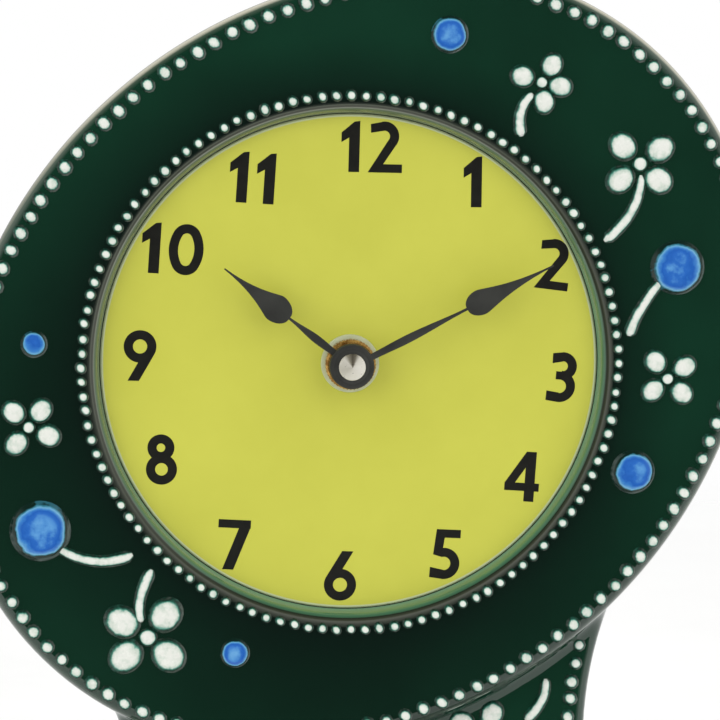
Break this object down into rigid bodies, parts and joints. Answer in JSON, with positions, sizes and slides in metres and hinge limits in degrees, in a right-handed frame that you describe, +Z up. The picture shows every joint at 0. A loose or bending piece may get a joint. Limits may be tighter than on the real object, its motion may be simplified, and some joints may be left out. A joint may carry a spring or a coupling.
{
  "type": "table clock",
  "caption": "Glazed pottery table clock: tilted oval head with slip dots and flowers, round dial, pear-shaped hands, flared hollow foot, and a quartz movement in the open back.",
  "frame": {"origin": "on the ground, at the middle of the clock's width and depth", "axes": "+Z up, -Y towards the viewer of the dial, +X to the viewer's right"},
  "size_m": [0.1712, 0.066, 0.2228],
  "materials": {
    "green_glaze": "gloss",
    "white_slip": "gloss",
    "blue_slip": "gloss",
    "dial_plate": "matt print",
    "pale_nylon": "matt",
    "brass": "turned",
    "rubber": "matt",
    "hand_paint": "satin",
    "bright_metal": "spun",
    "housing_plastic": "moulded",
    "wheel_plastic": "moulded",
    "arbor_steel": "turned",
    "knob_plastic": "moulded",
    "magnet": "sintered",
    "motor_iron": "stamped",
    "bobbin_plastic": "moulded",
    "copper": "enamelled wire",
    "board": "laminate",
    "resin": "cured drop",
    "battery_sleeve": "plain sleeve",
    "contact_steel": "plated spring strip"
  },
  "bodies": {
    "case": {"case_body": "green_glaze", "rim_slip_dots": "white_slip", "lip_slip_dots": "white_slip", "foot_slip_dots": "white_slip", "flower_petals": "white_slip", "flower_stems": "white_slip", "berries": "blue_slip", "dial": "dial_plate", "face_washer": "pale_nylon", "fixing_nut": "brass", "shaft_bush": "brass", "rubber_washer": "rubber", "movement_housing": "housing_plastic", "rear_cover": "housing_plastic", "train_bridge": "wheel_plastic", "stator": "motor_iron", "coil_core": "motor_iron", "coil_bobbin": "bobbin_plastic", "coil_winding": "copper", "circuit_board": "board", "quartz_crystal": "bright_metal", "timing_chip": "resin", "negative_contact": "contact_steel", "positive_contact": "contact_steel"},
    "minute": {"cannon_pinion": "arbor_steel", "minute_hand": "hand_paint", "cap_nut": "bright_metal"},
    "hour": {"hour_wheel": "wheel_plastic", "hour_hand": "hand_paint"},
    "reverse": {"reverse_wheel": "wheel_plastic"},
    "setting": {"setting_knob": "knob_plastic"},
    "rotor": {"rotor_pinion": "wheel_plastic", "rotor_magnet": "magnet"},
    "intermediate": {"intermediate_wheel": "wheel_plastic"},
    "seconds": {"seconds_wheel": "wheel_plastic"},
    "third": {"third_wheel": "wheel_plastic"},
    "centre": {"centre_wheel": "wheel_plastic"},
    "battery": {"battery": "battery_sleeve"}
  },
  "joints": [
    {"name": "minute_turn", "type": "hinge", "parent": "case", "child": "minute", "pos_m": [-0.00105, 0, 0.14], "axis": [0, 1, 0], "continuous": true},
    {"name": "hour_turn", "type": "hinge", "parent": "case", "child": "hour", "pos_m": [-0.00105, 0, 0.14], "axis": [0, 1, 0], "continuous": true},
    {"name": "reverse_turn", "type": "hinge", "parent": "case", "child": "reverse", "pos_m": [0.00034, 0, 0.13212], "axis": [0, 1, 0], "continuous": true},
    {"name": "setting_turn", "type": "hinge", "parent": "case", "child": "setting", "pos_m": [-0.00718, 0, 0.12939], "axis": [0, 1, 0], "continuous": true},
    {"name": "rotor_turn", "type": "hinge", "parent": "case", "child": "rotor", "pos_m": [-0.01542, 0, 0.14295], "axis": [0, 1, 0], "continuous": true},
    {"name": "intermediate_turn", "type": "hinge", "parent": "case", "child": "intermediate", "pos_m": [-0.00832, 0, 0.1442], "axis": [0, 1, 0], "continuous": true},
    {"name": "seconds_turn", "type": "hinge", "parent": "case", "child": "seconds", "pos_m": [-0.00105, 0, 0.14], "axis": [0, 1, 0], "continuous": true},
    {"name": "third_turn", "type": "hinge", "parent": "case", "child": "third", "pos_m": [0.003, 0, 0.14701], "axis": [0, 1, 0], "continuous": true},
    {"name": "centre_turn", "type": "hinge", "parent": "case", "child": "centre", "pos_m": [-0.00105, 0, 0.14], "axis": [0, 1, 0], "continuous": true},
    {"name": "battery_slide", "type": "slide", "parent": "case", "child": "battery", "axis": [0, 1, 0], "range_m": [0, 0.04]}
  ],
  "couplings": [
    {"joint": "hour_turn", "follows": "minute_turn", "ratio": 0.083333},
    {"joint": "reverse_turn", "follows": "minute_turn", "ratio": -0.33333},
    {"joint": "setting_turn", "follows": "minute_turn", "ratio": 1},
    {"joint": "intermediate_turn", "follows": "rotor_turn", "ratio": -0.2},
    {"joint": "seconds_turn", "follows": "rotor_turn", "ratio": 0.033333},
    {"joint": "third_turn", "follows": "rotor_turn", "ratio": -0.0044444},
    {"joint": "centre_turn", "follows": "rotor_turn", "ratio": 0.00055556}
  ]
}
